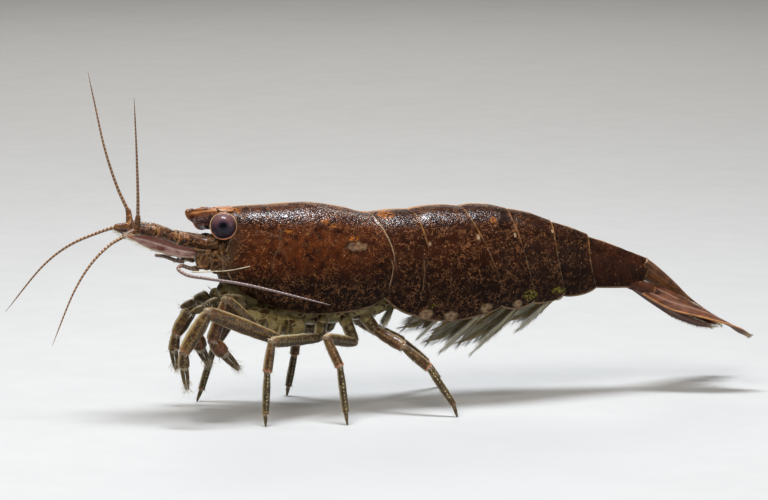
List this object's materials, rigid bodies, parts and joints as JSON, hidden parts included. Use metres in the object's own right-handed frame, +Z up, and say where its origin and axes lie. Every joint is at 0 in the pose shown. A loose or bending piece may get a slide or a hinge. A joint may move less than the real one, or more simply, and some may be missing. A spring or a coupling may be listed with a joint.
{
  "type": "freshwater dwarf shrimp",
  "caption": "Life-size dark brown aquarium shrimp standing on its walking legs, claws lowered to the ground, feelers spread forward and tail fan trailing.",
  "frame": {"origin": "on the floor, under the middle of the animal's bounding box, feelers included", "axes": "+Z up, +X towards the tail fan, head towards -X, the animal's left side towards -Y"},
  "size_m": [0.0364, 0.0101, 0.0165],
  "materials": {
    "shell": "glossy wet shell, dark red-brown with fine tan and orange marbling and golden plate edges",
    "rostrum": "orange-brown, half glossy, with a pale edge",
    "flesh": "translucent olive-brown with dark patches",
    "eye": "polished violet-black with a dark central spot",
    "eyestalk": "tan-pink with a pale rim round the eye",
    "feeler": "ringed tan and dark brown",
    "antennal_scale": "thin translucent blade, purple-brown above and pale below",
    "leg": "translucent olive-brown with dark stripes and orange joints",
    "claw": "red-brown with pale edges and olive-dark fingers",
    "swimmeret": "grey-olive translucent blades with fine hairs",
    "tail_fan": "thin amber-brown blades with an orange outer edge"
  },
  "bodies": {
    "root": {"carapace": "shell", "abdomen_plate_1": "shell", "abdomen_plate_2": "shell", "abdomen_plate_3": "shell", "abdomen_plate_4": "shell", "abdomen_plate_5": "shell", "abdomen_plate_6": "shell", "rostrum": "rostrum", "head": "flesh", "mouthparts": "flesh", "thorax": "flesh", "antenna_base_left": "flesh", "antenna_base_right": "flesh", "eye_left": "eye", "eye_right": "eye", "eyestalk_left": "eyestalk", "eyestalk_right": "eyestalk", "antennule_stem_left": "feeler", "antennule_stem_right": "feeler", "antennule_outer_left": "feeler", "antennule_outer_right": "feeler", "antennule_inner_left": "feeler", "antennule_inner_right": "feeler", "antenna_left": "feeler", "antenna_right": "feeler", "antennal_scale_left": "antennal_scale", "antennal_scale_right": "antennal_scale", "leg_3_left": "leg", "leg_3_right": "leg", "leg_4_left": "leg", "leg_4_right": "leg", "leg_5_left": "leg", "leg_5_right": "leg", "maxilliped_left": "leg", "maxilliped_right": "leg", "claw_1_left": "claw", "claw_1_right": "claw", "claw_2_left": "claw", "claw_2_right": "claw", "swimmeret_1_left": "swimmeret", "swimmeret_1_right": "swimmeret", "swimmeret_2_left": "swimmeret", "swimmeret_2_right": "swimmeret", "swimmeret_3_left": "swimmeret", "swimmeret_3_right": "swimmeret", "swimmeret_4_left": "swimmeret", "swimmeret_4_right": "swimmeret", "swimmeret_5_left": "swimmeret", "swimmeret_5_right": "swimmeret", "telson": "tail_fan", "tail_outer_left": "tail_fan", "tail_outer_right": "tail_fan", "tail_inner_left": "tail_fan", "tail_inner_right": "tail_fan"}
  },
  "joints": []
}
